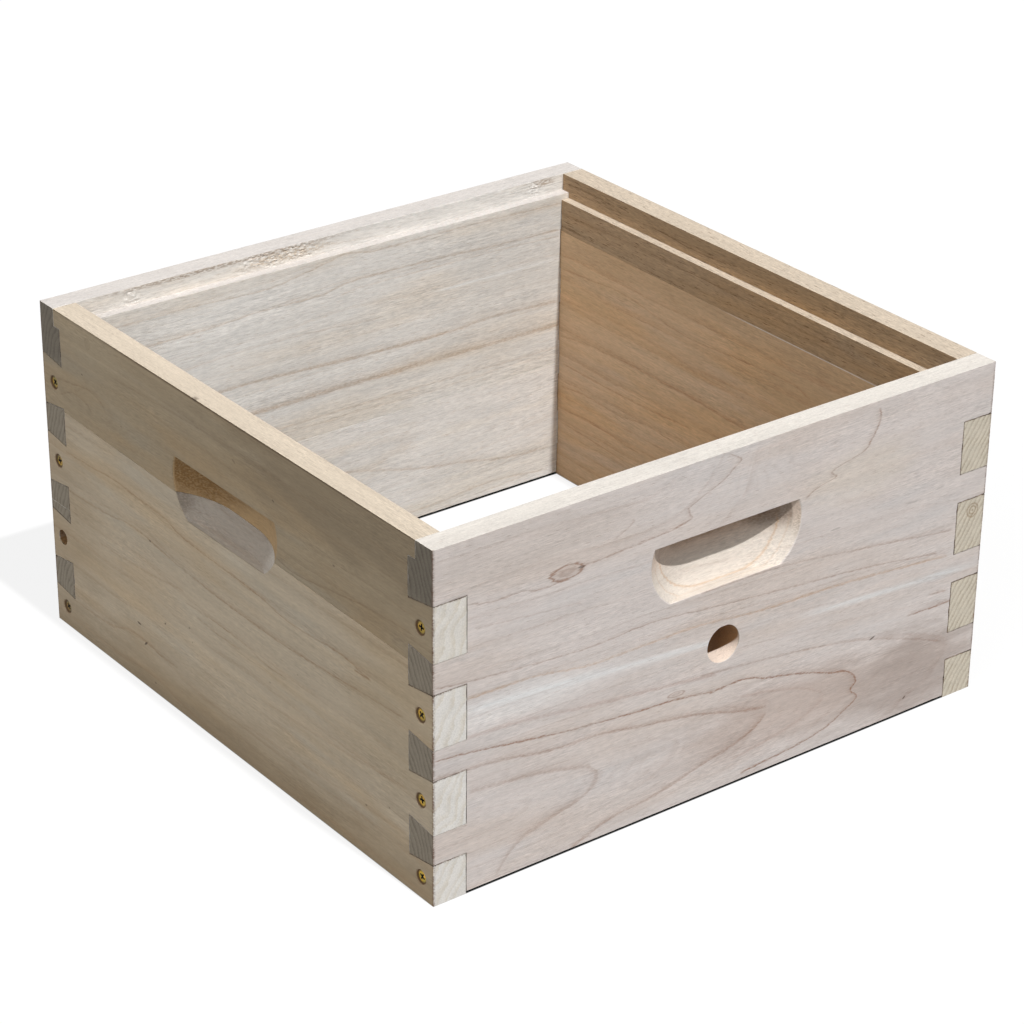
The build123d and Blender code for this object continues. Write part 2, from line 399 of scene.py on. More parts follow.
boards["rear_upper_plank"] = rearBoard | {
    "rings": rearUpperRings, "seed": 11.0,
    "figure": {
        "swellAt": (219, 42), "swell": 6.0, "swellDrop": (80, 20), "start": 20, "lean": 0.9, "pitch": 19,
    },
    "pale": (232, 229, 224), "warm": (229, 221, 210), "cool": (228, 225, 220), "line": (168, 134, 94),
    "lines": [
        trace([(22, 21.5), (103, 21.6), (154, 23.6), (183, 20.2), (209, 15.5), (221, 13.3), (248, 16.7),
               (312, 16.7), (407, 18.7)], 0.41),
        trace([(22, 41), (114, 40.2), (153, 38.2), (198, 38.7), (219, 35.1), (234, 34.3), (286, 34.7),
               (347, 37.2), (405, 38.5)], 0.38, 0.9),
        trace([(216, 42.5), (238, 40.4), (286, 40.8), (338, 41.2), (405, 43.2)], 0.30),
        trace([(60, 66), (160, 63), (250, 67)], 0.22, 1.0),
        trace([(22, 91), (130, 88), (240, 92), (315, 92.9), (339, 91), (405, 93.4)], 0.5, 1.4, halo=0.5),
        trace([(22, 113), (200, 111), (408, 112)], 0.55, 2.0, halo=0.6),
        trace([(22, 131), (220, 128), (408, 130)], 0.26, 0.9),
    ],
    "specks": [spot((258.0, 88.0), (3.4, 0.6), 0.25, -0.1)],
    "streaks": [gleam((290, 59.3), (412, 60.6), 1.0, 20)],
    "zones": [
        zone((70, 70), (130, 70), (239, 237, 233), 0.8),
        zone((370, 60), (90, 60), (221, 219, 215), 0.8),
        # torn grain browns the top of the rebate wall, and the shade in its pits is painted in
        zone((128, 1.4), (112, 2.2), (146, 120, 96), 0.65, deep=14.0, grit=0.9),
        zone((176, 6.0), (48, 5.0), (198, 176, 148), 0.6, deep=14.0, grit=0.9),
        # a dark torn notch, its shade painted in
        zone((396, 3.0), (12, 4.0), (156, 132, 108), 0.65, deep=14.0, grit=0.9),
    ],
}
boards["rear_lower_plank"] = rearBoard | {
    "rings": rearLowerRings, "seed": 17.0,
    "figure": {"heart": 175, "heartClimb": 0.03, "leave": 0.05, "depth": 8, "flatten": 0.6, "pitch": 11},
    "pale": (237, 233, 228), "warm": (234, 227, 217), "cool": (232, 229, 225), "line": (172, 138, 98),
    "lines": [
        trace([(120, 170), (200, 174), (291, 193.5), (324, 198.5), (357.5, 205), (400, 208)], 0.34, 1.4),
        trace([(160, 214), (291, 224.5), (341, 221), (399, 226)], 0.26, 1.0),
    ],
}
boards["left_upper_plank"] = leftBoard | {
    "rings": leftUpperRings, "seed": 23.0,
    "figure": {
        "swirlAt": (62, 34), "swirlDrop": (55, 13), "swirl": 2.4, "lean": 0.9, "climb": 0.012,
        "pitch": 15,
    },
    "pale": (169, 152, 126), "warm": (170, 148, 117), "cool": (166, 153, 132), "line": (112, 84, 56),
    "fresh": (178, 148, 108), "fibre": 0.95, "fuzz": 0.45, "band": 0.22,
    "lines": [
        trace([(14.5, 48.9), (35.4, 45.6), (58, 42.2), (71, 44.8), (77, 49.9), (79, 56.8)], 0.4, 0.8),
        trace([(20, 58.8), (39, 51.7), (55, 53.4), (61, 58.6)], 0.35, 0.8),
        trace([(271.6, 70.9), (289, 73), (308, 71.4), (342, 66.2), (371, 62.8), (410, 60.8)], 0.4, 0.7),
        trace([(90, 22), (200, 18), (330, 20)], 0.22, 1.2),
    ],
    "eyes": [spot((59.2, 9.7), (3.0, 3.6), 0.22)],
    "specks": [
        spot((50.1, 34.0), (1.2, 0.7), 0.6), spot((228.4, 24.9), (2.2, 0.9), 0.4, 0.4),
        spot((270.6, 34.2), (1.5, 0.8), 0.6, 0.3), spot((333.0, 50.4), (1.2, 0.6), 0.5),
        spot((96.7, 52.5), (1.0, 0.6), 0.4), spot((186.0, 0.4), (2.8, 1.6), 0.6),
    ],
    "zones": [
        zone((350, 12), (170, 40), (146, 130, 106), 0.85),
        zone((215, 0.3), (320, 1.4), (92, 74, 52), 0.8, ragged=0.5),
        # painted shade under the roof of the finger recess
        zone((170, 56), (48, 25), (118, 85, 40), 0.88, deep=1.5, tilt=0.1, grit=0.4, cut=True),
        zone((60, 10), (60, 16), (182, 166, 140), 0.5),
    ],
}
boards["left_lower_plank"] = leftBoard | {
    "rings": leftLowerRings, "seed": 29.0,
    "figure": {
        "stepFrom": (196, 125), "step": 5.6, "swellAt": (115, 24), "swell": 3.0, "lean": 0.9,
        "start": 106, "pitch": 20.6,
    },
    "pale": (199, 184, 161), "warm": (197, 177, 148), "cool": (196, 185, 166), "line": (142, 106, 72),
    "end": leftTailEnd | {"base": (232, 228, 222)}, "fresh": (174, 165, 155), "sill": (210, 201, 189),
    "cutTint": (120, 104, 86), "cutLines": [cutLine(13.4, 0.4, 0.16), cutLine(8.6, 0.3, 0.12)],
    "ringLines": 0.16, "fibre": 0.9, "band": 0.3,
    "lines": [
        trace([(22.8, 98.7), (52.6, 97.3), (84, 95), (112, 96.2), (146, 97.3), (161, 101.3), (186, 102.9),
               (254.5, 105.7), (287, 109.2), (337, 106.2), (370, 110)], 0.5, 0.8),
        trace([(352, 110.3), (368, 110)], 0.7, 0.6, fade=3),
        trace([(3, 127.2), (50, 125.4), (77, 123.3), (102, 119.6), (121, 120.4), (153, 123.9),
               (215, 127.3), (264, 127.7), (323, 124.5), (402, 119)], 0.45, 0.8),
        trace([(166, 147.4), (211, 146.2), (234, 147), (261, 150.4), (281, 149.6)], 0.35),
        trace([(178, 152.2), (203, 153.8), (228.5, 153.5)], 0.32),
        trace([(20, 208.5), (67, 206.8), (104, 198.3), (138, 200.9), (154, 200.5)], 0.35, 1.0),
        trace([(60, 150), (120, 146), (165, 140)], 0.25, 1.2),
        trace([(250, 178), (330, 172), (404, 165)], 0.25, 1.4),
        trace([(230, 205), (320, 200), (404, 196)], 0.22, 1.4),
    ],
    "specks": [
        spot((107.2, 188.5), (2.4, 0.8), 0.85, 0.1), spot((114.6, 200.3), (2.4, 1.2), 0.85, -0.7),
        spot((140.2, 174.2), (1.2, 0.8), 0.7, -0.3), spot((169.6, 164.2), (1.0, 0.7), 0.5),
        spot((125.8, 121.2), (1.4, 0.9), 0.6), spot((172.6, 173.2), (0.9, 0.6), 0.4),
        spot((363.0, 196.7), (1.2, 0.8), 0.5), spot((386.8, 186.5), (1.0, 0.6), 0.4),
        spot((292.4, 141.2), (1.0, 0.6), 0.4), spot((261.5, 160.8), (1.0, 0.6), 0.4),
        spot((124.7, 224.7), (1.4, 0.7), 0.5),
    ],
    "zones": [
        zone((215, 244), (440, 52), (150, 130, 102), 0.8, ragged=0.3),
        zone((0, 150), (80, 90), (175, 156, 129), 0.6),
        zone((400, 130), (70, 60), (190, 172, 144), 0.6),
        # painted shade at the rear end of the finger recess, then painted light at its front end
        zone((150, 74), (26, 26), (126, 113, 98), 0.8, deep=0.6, grit=0.4, cut=True),
        zone((268, 82), (20, 16), (214, 206, 195), 0.9, deep=0.6, grit=0.3, cut=True),
    ],
}
boards["right_upper_plank"] = rightBoard | {
    "rings": rightUpperRings, "seed": 37.0, "figure": {"fall": 0.01, "lean": 1.1, "pitch": 9},
    "pale": (170, 143, 112), "warm": (172, 139, 101), "cool": (165, 143, 116), "line": (94, 64, 38),
    "fresh": (178, 148, 108), "softness": 0.2, "fibre": 1.7, "fuzz": 0.8, "pore": 0.7,
    "lines": [
        trace([(22, 35.8), (68, 36.9), (135, 38), (160, 38.2)], 0.6, 0.5),
        trace([(20, 7.1), (49, 5.7), (73, 7.4), (84, 10.1)], 0.5, 0.7),
        trace([(125, 8.3), (153, 10.7), (180, 10.5), (206, 7.9)], 0.5, 0.7),
        trace([(24, 26), (150, 24), (300, 27), (406, 25)], 0.35, 0.9),
    ],
    "zones": [zone((215, 4), (300, 14), (160, 133, 101), 0.8, deep=15.0)],
}
boards["right_lower_plank"] = rightBoard | {
    "rings": rightLowerRings, "seed": 41.0,
    "figure": {"lean": 0.95, "pitch": 19.4, "closerFrom": 160, "closer": 0.052},
    "pale": (205, 174, 140), "warm": (205, 168, 127), "cool": (200, 173, 145), "line": (148, 91, 50),
    "fresh": (213, 200, 178), "softness": 0.3, "fibre": 1.1,
    "lines": [
        trace([(26, 68), (60, 66), (89, 64), (121, 67), (147, 70.8), (173, 72), (216, 69.3), (270, 67.2),
               (291, 72.4)], 0.36, 0.7),
        trace([(25, 92), (90, 88), (180, 92), (260, 90)], 0.24, 1.2),
        trace([(25, 120.6), (51, 116.8), (81, 115.5), (138, 114.5), (230, 118)], 0.40, 1.0),
        trace([(28, 141.5), (90, 141.8), (174, 138.6)], 0.40, 0.9),
        trace([(26.5, 159.9), (57.5, 157), (89, 158), (127, 154), (155, 156)], 0.40, 0.9),
        trace([(25.5, 177.7), (58, 175.8), (117, 179.3)], 0.40, 0.9),
        trace([(26, 188), (101, 191.5)], 0.36, 0.8),
    ],
    "streaks": [gleam((190, 40), (420, 40), 0.28, 40)],
    "zones": [
        zone((330, 80), (120, 70), (193, 161, 124), 0.75),
        zone((40, 60), (70, 50), (200, 168, 130), 0.6),
        zone((200, 42), (260, 18), (194, 162, 126), 0.6),
    ],
    "endKnots": [spot((10.0, 100.0), (4.6, 4.6), 0.6)],
}


def placeOnBoard(draw, side):
    # u along the grain, v down from the rim, d in from the outer face
    x, y, z = objectPlace(draw)
    v = heightMm - z
    if side == "front":
        return x + halfMm, v, y + halfMm
    if side == "rear":
        return x + halfMm, v, halfMm - y
    if side == "left":
        return halfMm - y, v, x + halfMm
    return halfMm - y, v, halfMm - x


def layer(along, across, **other):
    # noise of this length and width in the grain; shows is the range that is kept, without it the noise
    # swings both ways from 0
    usual = {"shift": 0.0, "detail": 2, "rough": 0.5, "shows": None, "seedDown": False}
    return usual | {"along": along, "across": across} | other


# the layers that every plank is made of, in millimetres
layers = {
    "wander": layer(110, 34, seedDown=True),
    "fray": layer(7, 1.6, detail=3),
    "patchy": layer(55, 8, shift=5, shows=(0.35, 0.65)),
    "dots": layer(2.6, 0.9, shift=7, detail=1, shows=(0.36, 0.6)),
    "drift": layer(170, 30, shift=9, detail=3, shows=(0.42, 0.68)),
    "chill": layer(140, 22, detail=3, shows=(0.5, 0.72), seedDown=True),
    "fibre": layer(6, 0.8, detail=4, rough=0.65),
    "streak": layer(120, 2.2, detail=3),
    "mottle": layer(40, 9, shift=4, detail=3),
    "combed": layer(90, 25, shift=2, shows=(0.4, 0.7)),
    "band": layer(260, 8, shift=8),
    "comb": layer(24, 1.2, shift=3, detail=3, rough=0.6),
    "pore": layer(7, 0.7, detail=1, shows=(0.62, 0.74)),
    "pit": layer(1.6, 1.0, shift=6),
}
# how strongly each layer shows in the colour, in the roughness and as relief
grain = {
    "wander": 0.4, "fray": 0.12, "late": 0.3, "lateStop": 0.985, "veil": 0.3, "rimLine": 0.4,
    "between": 0.08, "betweenLines": 5, "betweenWander": 3, "betweenEdge": (0.55, 0.95, 0.96),
    "chill": 0.8, "fresh": 0.9, "fibre": 0.6, "streak": 0.17, "mottle": 0.22, "pit": 0.4, "rimPit": 0.34,
    "zoneEdge": (1.15, 0.3),
    "gleam": (0.84, 0.85, 0.85, 1), "gleamShare": 0.6, "gleamWave": 1.8, "speck": (0.07, 0.045, 0.03, 1),
    "soil": (0.045, 0.026, 0.015, 1), "burn": (0.12, 0.05, 0.022, 1), "shine": 0.3,
}
rough = {"plain": 0.68, "fibre": 0.2, "rings": 0.08}
relief = {"strength": 0.4, "depth": 0.0005, "fibre": 0.5, "streak": 0.3, "pore": 0.5, "edge": 0.2, "pit": 0.6}
# the lines drawn one by one, the cut rings in the recess and the rings on sawn ends
lineLook = {
    "reach": 500, "fray": 2.4, "start": -6, "end": 3, "dots": 0.4, "patchy": 0.3, "least": 0.35,
    "onRim": 0.3, "onFresh": 0.2, "cutWander": 3, "cutFray": 1.5, "cutFrom": (56, 66),
}
endLook = {"bendCell": 24, "fray": 0.5, "arc": (0.3, 0.92, 0.94), "shadeFrom": (52, 30)}
# round marks: how frayed, their fill, their rings as place, width and share, and how deep they go
eyeLook = {
    "fray": 0.9, "fill": (1.1, 0.3), "fillShare": 0.35, "rings": [(1.0, 0.15, 1), (0.4, 0.2, 0.25)],
    "skin": (6, 1),
}
speckLook = {"fray": 1.2, "fill": (1.1, 0.5), "fillShare": 1, "rings": [], "skin": (4, 1)}
knotLook = {
    "fray": 0.3, "fill": (0.25, 0.1), "fillShare": 1, "rings": [(1.0, 0.13, 1), (0.6, 0.12, 1)], "skin": None,
}
# how far a surface is turned where it counts as a sawn end, the rim or the sill of a recess
# (the sill is painted paler, as painted light)
turned = {"sawn": (0.86, 0.97), "rim": (0.8, 0.95), "rimDrop": (40, 30), "sill": (0.85, 0.95)}
# dovetails down each corner, measured from the rim, for the dirt in the joints
corner = {
    "firstTail": 35.2, "pitch": 56.3, "tail": 36.3, "tongue": 12.5, "lean": 7.0, "before": 0.15, "soft": 0.3,
    "gapSoil": 0.42, "gapFrom": (26, 28), "skin": (4, 1), "arris": 1.1, "scorch": 0.4, "clean": 0.65,
    "cleanFrom": (300, 100),
}
# where the finger recess was cut, for its fresher wood
recess = {"halfLength": 63.0, "top": 45.0, "foot": 92.0, "depth": 17.5, "lip": (0.25, 0.7)}
# mouths of the screw holes, the bare wood inside and the painted shade round the heads
screwHoles = {
    "inset": 12.4, "drops": (53.35, 109.65, 165.95, 218.05), "sunk": (0.2, 0.9), "bare": (5.9, 5.5),
    "bareShare": 0.85, "tint": (142, 104, 62), "grimy": (5.3, 4.7), "grime": 0.7,
}


def woodNoise(u, v, d, seed, row):
    down, deep = v / row["across"], d / row["across"]
    if row["seedDown"]:
        down = down + seed
    else:
        deep = deep + (seed + row["shift"])
    field = cloud(vector(u / row["along"], down, deep), detail=row["detail"], rough=row["rough"])
    return smooth(field, *row["shows"]) if row["shows"] else field - 0.5


def readWood(draw, board):
    # place, noises and masks that all parts of a plank's material share
    u, v, d = placeOnBoard(draw, board["side"])
    noises = {name: woodNoise(u, v, d, board["seed"], row) for name, row in layers.items()}
    wood = SimpleNamespace(u=u, v=v, d=d, **noises)
    wood.fromEnd = halfMm - u.math("ABSOLUTE", u - halfMm)
    normal = draw.node("ShaderNodeTexCoord", output="Normal")
    turnX, turnY, wood.up = draw.node("ShaderNodeSeparateXYZ", inputs={0: normal}, output=(0, 1, 2))
    alongGrain = turnX if board["side"] in ("front", "rear") else turnY
    wood.sawn = smooth(draw.math("ABSOLUTE", alongGrain), *turned["sawn"])
    wood.flat = 1 - wood.sawn
    wood.rim = smooth(wood.up, *turned["rim"]) * smooth(v, *turned["rimDrop"])
    inRecess = within(u, halfMm - recess["halfLength"], halfMm + recess["halfLength"])
    inRecess = inRecess * within(v, recess["top"], recess["foot"])
    wood.fresh = inRecess * smooth(d, *recess["lip"]) * smooth(d, recess["depth"] + 1, recess["depth"])
    return wood


def ellipse(u, v, oval):
    # 1 on the rim of a leaning ellipse round a knot, speck or zone
    across = u - oval["at"][0]
    down = v - oval["at"][1] - across * oval["tilt"]
    return span(across / oval["size"][0], down / oval["size"][1])


def growthLines(wood, board):
    # rings bent by slow noise and frayed by fine noise, with finer ones between, and their dark edge alone
    rings = board["rings"](wood.u, wood.v, wood.d, **board["figure"])
    rings = rings + wood.wander * grain["wander"] + wood.fray * grain["fray"]
    share, soft = fraction(rings), board["softness"]
    edge = lateEdge(share, 1 - soft, 1 - soft * grain["late"], grain["lateStop"])
    edge = edge * atLeast(wood.patchy, 0.4) * atLeast(wood.dots, 0.4)
    finer = fraction(rings * grain["betweenLines"] + wood.wander * grain["betweenWander"])
    between = lateEdge(finer, *grain["betweenEdge"]) * atLeast(wood.dots, 0.5) * atLeast(wood.patchy, 0.3)
    line = (edge + share ** 3 * grain["veil"]) * board["ringLines"] + between * grain["between"]
    return line, edge


def drawnLine(wood, line):
    # a dark core with a soft halo on the side of the earlier wood
    u, v = (wood.v, wood.u) if line["steep"] else (wood.u, wood.v)
    points, wide, halo = line["points"], line["wide"], line["halo"]
    low, high = points[0][0], points[-1][0]
    along = spread(u, low, high)
    reach = lineLook["reach"]
    follow = curve(along, [((a - low) / (high - low), b / reach) for a, b in points]) * reach
    away = v - follow + wood.fray * lineLook["fray"]
    away = spread(away, wide * lineLook["start"], wide * lineLook["end"])
    profile = [(0, 0), (0.4, halo * 0.45), (0.55, halo), (0.667, 1), (0.76, 0.15), (0.86, 0), (1, 0)]
    fade = line["fade"] / (high - low)
    ends = [(0, 0), (fade, 1), (1 - fade, 1), (1, 0)]
    return curve(away, profile) * curve(along, ends)


def ownColour(wood, board):
    # slow drift between the plank's colours, fresher wood in the recess, painted light on its sill,
    # then its zones, some of them painted shade or light, and the rim
    colour = blend(wood.drift, board["pale"], board["warm"])
    colour = blend(wood.chill * grain["chill"], colour, board["cool"])
    colour = blend(wood.fresh * grain["fresh"], colour, board["fresh"])
    # painted light: the up-facing sill of the recess, shaded by its roof, is made paler
    if board["sill"]:
        colour = blend(wood.fresh * smooth(wood.up, *turned["sill"]), colour, board["sill"])
    for patch in board["zones"]:
        inside = smooth(ellipse(wood.u, wood.v, patch) + wood.mottle * patch["ragged"], *grain["zoneEdge"])
        inside = inside * smooth(wood.d, patch["deep"] - 1, patch["deep"])
        if patch["cut"]:
            inside = inside * wood.fresh
        if patch["grit"]:
            inside = inside * atLeast(wood.dots, 1 - patch["grit"])
        colour = blend(inside * patch["share"], colour, patch["tint"])
    return blend(wood.rim, colour, board["rim"])


def markSpots(wood, across, spots, look, colour, tint):
    for oval in spots:
        away = ellipse(across, wood.v, oval) + wood.fray * look["fray"]
        dark = smooth(away, *look["fill"]) * look["fillShare"]
        for middle, wide, share in look["rings"]:
            dark = dark + hump(away, middle, wide) * share
        if look["skin"]:
            dark = dark * smooth(wood.d, *look["skin"])
        colour = blend(dark * oval["dark"], colour, tint)
    return colour


def markFace(wood, board, colour, rings):
    # cut rings in the recess, silver streaks, growth lines, knots and specks
    u, v, d = wood.u, wood.v, wood.d
    lineColour = board["line"]
    for ring in board["cutLines"]:
        away = d + wood.wander * lineLook["cutWander"] + wood.fray * lineLook["cutFray"]
        cut = hump(away, ring["deep"], ring["wide"]) * wood.fresh * smooth(v, *lineLook["cutFrom"])
        colour = blend(cut * ring["dark"], colour, board["cutTint"])
    for streak in board["streaks"]:
        (u0, v0), (u1, v1) = streak["start"], streak["end"]
        wave = wood.streak * streak["wide"] * grain["gleamWave"]
        path = v - v0 - (u - u0) * ((v1 - v0) / (u1 - u0)) + wave
        ends = smooth(u, u0, u0 + streak["fade"]) * smooth(u, u1, u1 - streak["fade"])
        colour = blend(hump(path, 0, streak["wide"]) * ends * grain["gleamShare"], colour, grain["gleam"])
    colour = blend(rings * atLeast(1 - wood.rim, grain["rimLine"]), colour, lineColour)
    broken = wood.dots * lineLook["dots"] + wood.patchy * lineLook["patchy"] + lineLook["least"]
    broken = broken * atLeast(1 - wood.rim, lineLook["onRim"]) * atLeast(1 - wood.fresh, lineLook["onFresh"])
    for line in board["lines"]:
        colour = blend(drawnLine(wood, line) * broken * line["dark"], colour, line["tint"] or lineColour)
    colour = markSpots(wood, u, board["eyes"], eyeLook, colour, lineColour)
    return markSpots(wood, u, board["specks"], speckLook, colour, grain["speck"])


def sawnEnd(wood, board):
    # cut fibres, paler or darker than the face, with the rings as thin arcs
    end, v, d = board["end"], wood.v, wood.d
    lineColour = end["line"]
    bend = cloud(vector(v / endLook["bendCell"], d / endLook["bendCell"], board["seed"]), detail=1) - 0.5
    arcs = (v * end["down"] + d * end["across"]) / end["pitch"]
    arcs = arcs + bend * end["bend"] + wood.fray * endLook["fray"]
    arc = lateEdge(fraction(arcs), *endLook["arc"]) * atLeast(wood.patchy, 0.5)
    colour = blend(arc * end["strength"], end["base"], lineColour)
    colour = markSpots(wood, d, board["endKnots"], knotLook, colour, lineColour)
    return shaded(colour, 1 - smooth(v, *endLook["shadeFrom"]) * end["topShade"])


def boreWall(wood, bore, colour):
    # the wall of the flight hole: painted shadow in brown where its rim shades it along the sun's slant,
    # and pale wood in the sunlit part at its foot that narrows inwards
    across, down = wood.u - bore["at"][0], wood.v - bore["at"][1]
    radius, edge = bore["radius"], bore["edge"]
    inside = smooth(span(across, down), radius + 0.1, radius - 0.1) * smooth(wood.d, *bore["lip"])
    burnt = smooth(span(across, down - wood.d * bore["slant"]) - radius, -edge, edge)
    return blend(inside, colour, blend(burnt, bore["clean"], bore["burnt"]))


def jointSoil(wood, isSide):
    # dark gaps round the tails, on the faces and on the sawn ends, and the upper ones alone;
    # flanks lean only on the side boards' faces
    v, d, fromEnd = wood.v, wood.d, wood.fromEnd
    gap, tail, first, pitch = (corner[name] for name in ("gapSoil", "tail", "firstTail", "pitch"))
    phase = (fraction((v - first) / pitch + corner["before"]) - corner["before"]) * pitch
    onTail = within(phase, 0, tail, corner["soft"]) * smooth(v, first - 3, first)

    def flank(reach, leans, drop, turn):
        lean = reach * (turn / corner["lean"]) if leans else 0.0
        inJoint = smooth(reach, thickMm + 0.4, thickMm) * smooth(v, *corner["gapFrom"])
        return hump(phase - lean, drop, gap) * inJoint

    face, end = smooth(d, *corner["skin"]), smooth(fromEnd, *corner["skin"])
    upper, lower = (
        flank(fromEnd, isSide, drop, turn) * face + flank(d, not isSide, drop, turn) * end
        for drop, turn in ((0, 1), (tail, -1))
    )
    shoulder = hump(fromEnd, thickMm, gap) * ((1 - onTail) if isSide else onTail)
    soil = upper + lower + shoulder * face + hump(d, thickMm, gap) * end
    return soil * smooth(v, corner["tongue"], corner["tongue"] + 1), upper


def soiledAndShaded(wood, board, colour):
    # arrises browned by the sander, dirt in the joints, bare wood in the screw holes and painted shade round
    # the heads in them
    side, burn = board["side"], grain["burn"]
    isSide = side in ("left", "right")
    arris = hump(wood.fromEnd, 0, corner["arris"]) * hump(wood.d, 0, corner["arris"])
    colour = blend(arris * (wood.patchy * 0.4 + wood.dots * 0.55), colour, burn)
    soil, upperGap = jointSoil(wood, isSide)
    soil = soil * (wood.dots * 0.35 + wood.patchy * 0.45 + 0.2)
    if side in ("front", "left"):
        # cleaner at the front's left and on the left board's ends, and scorched by the saw
        scorch = upperGap ** corner["scorch"] * wood.dots * (wood.patchy * 0.5 + 0.4)
        clean = smooth(wood.u, *corner["cleanFrom"]) if side == "front" else wood.sawn
        soil = soil * (1 - clean * corner["clean"])
        colour = blend(scorch if side == "front" else scorch * wood.sawn, colour, burn)
    if isSide:
        across = wood.fromEnd - screwHoles["inset"]
        nearest, *others = (span(across, wood.v - drop) for drop in screwHoles["drops"])
        for away in others:
            nearest = away.math("MINIMUM", nearest, away)
        sunk = smooth(wood.d, *screwHoles["sunk"])
        bare = smooth(nearest, *screwHoles["bare"]) * sunk * screwHoles["bareShare"]
        colour = blend(bare, colour, screwHoles["tint"])
        # painted shade on the countersink wall round each head
        grime = smooth(nearest, *screwHoles["grimy"]) * sunk * screwHoles["grime"]
        soil = soil.math("MAXIMUM", soil, grime)
    return blend(soil, colour, grain["soil"])


def woodMaterial(nodeName):
    board = boards[nodeName]
    material, skin, draw = startMaterial(pieceName(nodeName) + "Wood")
    wood = readWood(draw, board)
    rings, edge = growthLines(wood, board)
    colour = markFace(wood, board, ownColour(wood, board), rings)
    colour = blend(wood.sawn, colour, sawnEnd(wood, board))
    if board["bore"]:
        colour = boreWall(wood, board["bore"], colour)
    # fibres, combing and bands on the faces, pits on the ends and the rim, short dark pores
    tone = wood.fibre * (wood.combed * board["fuzz"] + board["fibre"] * grain["fibre"])
    tone = tone + wood.streak * grain["streak"] + wood.comb * wood.combed * board["comb"]
    tone = 1 + (tone + wood.band * board["band"]) * wood.flat + wood.mottle * grain["mottle"]
    tone = tone + wood.pit * (wood.sawn * grain["pit"] + wood.rim * grain["rimPit"])
    colour = shaded(colour, tone)
    colour = blend(wood.pore * wood.flat * board["pore"], colour, board["line"])
    feed(skin, "Base Color", soiledAndShaded(wood, board, colour))
    feed(skin, "Roughness", rough["plain"] + wood.fibre * rough["fibre"] + rings * rough["rings"])
    height = wood.fibre * relief["fibre"] + wood.streak * relief["streak"]
    height = height - wood.pore * relief["pore"] - edge * relief["edge"]
    height = height + wood.pit * (wood.sawn + wood.rim) * relief["pit"]
    bump = {"Strength": relief["strength"], "Distance": relief["depth"], "Height": height}
    feed(skin, "Normal", draw.node("ShaderNodeBump", inputs=bump))
    feed(skin, "Specular IOR Level", grain["shine"])
    return material


# planks: copies of the solids, with their arrises eased unevenly as by hand and chipped at the joints
easing = {
    "width": 0.45 * mm, "segments": 2, "least": 0.4, "step": 6 * mm, "wander": 14 * mm, "corner": 35,
    "shortest": 1.4 * mm, "merge": 0.01 * mm, "coplanar": 0.4, "round": 28, "weight": 80,
}
chips = {"step": 1.7 * mm, "bite": 2.5 * mm, "least": 0.25, "most": 3.0, "near": 0.6 * mm, "sharp": 0.2}
# the rear rebate wall, where the cutter tore the grain
tornWall = {
    "node": "rear_upper_plank", "rest": 7 * mm, "drop": 12 * mm, "margin": 1.0 * mm, "near": 0.3 * mm,
    "cell": 0.9 * mm, "long": 3.2 * mm, "high": 1.4 * mm, "finer": 2.3, "rags": 1.3, "lowest": -1.0,
    "highest": 0.7, "deep": 0.7 * mm,
    "patches": [(-42 * mm, 48 * mm), (-157 * mm, 9 * mm), (172 * mm, 7 * mm)],  # middle and reach of each
}


def selectOnly(*pieces):
    bpy.ops.object.select_all(action="DESELECT")
    for piece in pieces:
        piece.select_set(True)
    bpy.context.view_layer.objects.active = pieces[0]


def editWhole(operator, **settings):
    bpy.ops.object.mode_set(mode="EDIT")
    bpy.ops.mesh.select_all(action="SELECT")
    operator(**settings)
    bpy.ops.object.mode_set(mode="OBJECT")


def plankFrom(nodeName):
    board = boards[nodeName]
    piece = bpy.data.objects.new(pieceName(nodeName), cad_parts[nodeName].data.copy())
    bpy.context.scene.collection.objects.link(piece)
    selectOnly(piece)
    bpy.ops.mesh.customdata_custom_splitnormals_clear()
    editWhole(bpy.ops.mesh.remove_doubles, threshold=easing["merge"])
    seamOpenings(piece, board["side"])
    editWhole(bpy.ops.mesh.dissolve_limited, angle_limit=math.radians(easing["coplanar"]), delimit={"SEAM"})
    easeArrises(piece, board["seed"])
    if nodeName == tornWall["node"]:
        tearGrain(piece)
    levelFaces(piece)
    piece.data.materials.clear()
    piece.data.materials.append(woodMaterial(nodeName))
    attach(piece, "root")
    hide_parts(nodeName)
    print("plank", piece.name, len(piece.data.polygons), "faces")


def seamOpenings(piece, side):
    # cut through the middle of every hole and recess, so that no flat face is left with a hole in it
    along = Vector((1, 0, 0)) if side in ("front", "rear") else Vector((0, 1, 0))
    screwRow = halfWidth - screwHoles["inset"] * mm
    planes = [(Vector(), along)] + [(Vector((0, end * screwRow, 0)), Vector((0, 1, 0))) for end in (-1, 1)]
    mesh = bmesh.new()
    mesh.from_mesh(piece.data)
    for at, facing in planes:
        whole = mesh.verts[:] + mesh.edges[:] + mesh.faces[:]
        cut = bmesh.ops.bisect_plane(mesh, geom=whole, dist=easing["merge"], plane_co=at, plane_no=facing)
        for item in cut["geom_cut"]:
            if isinstance(item, bmesh.types.BMEdge):
                item.seam = True
    mesh.to_mesh(piece.data)
    mesh.free()


def isJoint(edge):
    # an upright arris beside a dovetail, where the saw chips the face
    a, b = (v.co for v in edge.verts)
    upright = abs(a.x - b.x) < chips["near"] and abs(a.y - b.y) < chips["near"]
    shoulder = halfWidth - boardThick
    return upright and any(abs(abs(c) - shoulder) < chips["near"] for c in (a.x, a.y))


def inCorner(edge):
    # an arris of a pin or tail, inside the corner block
    shoulder = halfWidth - boardThick - chips["near"]
    ends = [v.co for v in edge.verts]
    return all(abs(p.x) > shoulder and abs(p.y) > shoulder and p.z < boxHeight - chips["near"] for p in ends)


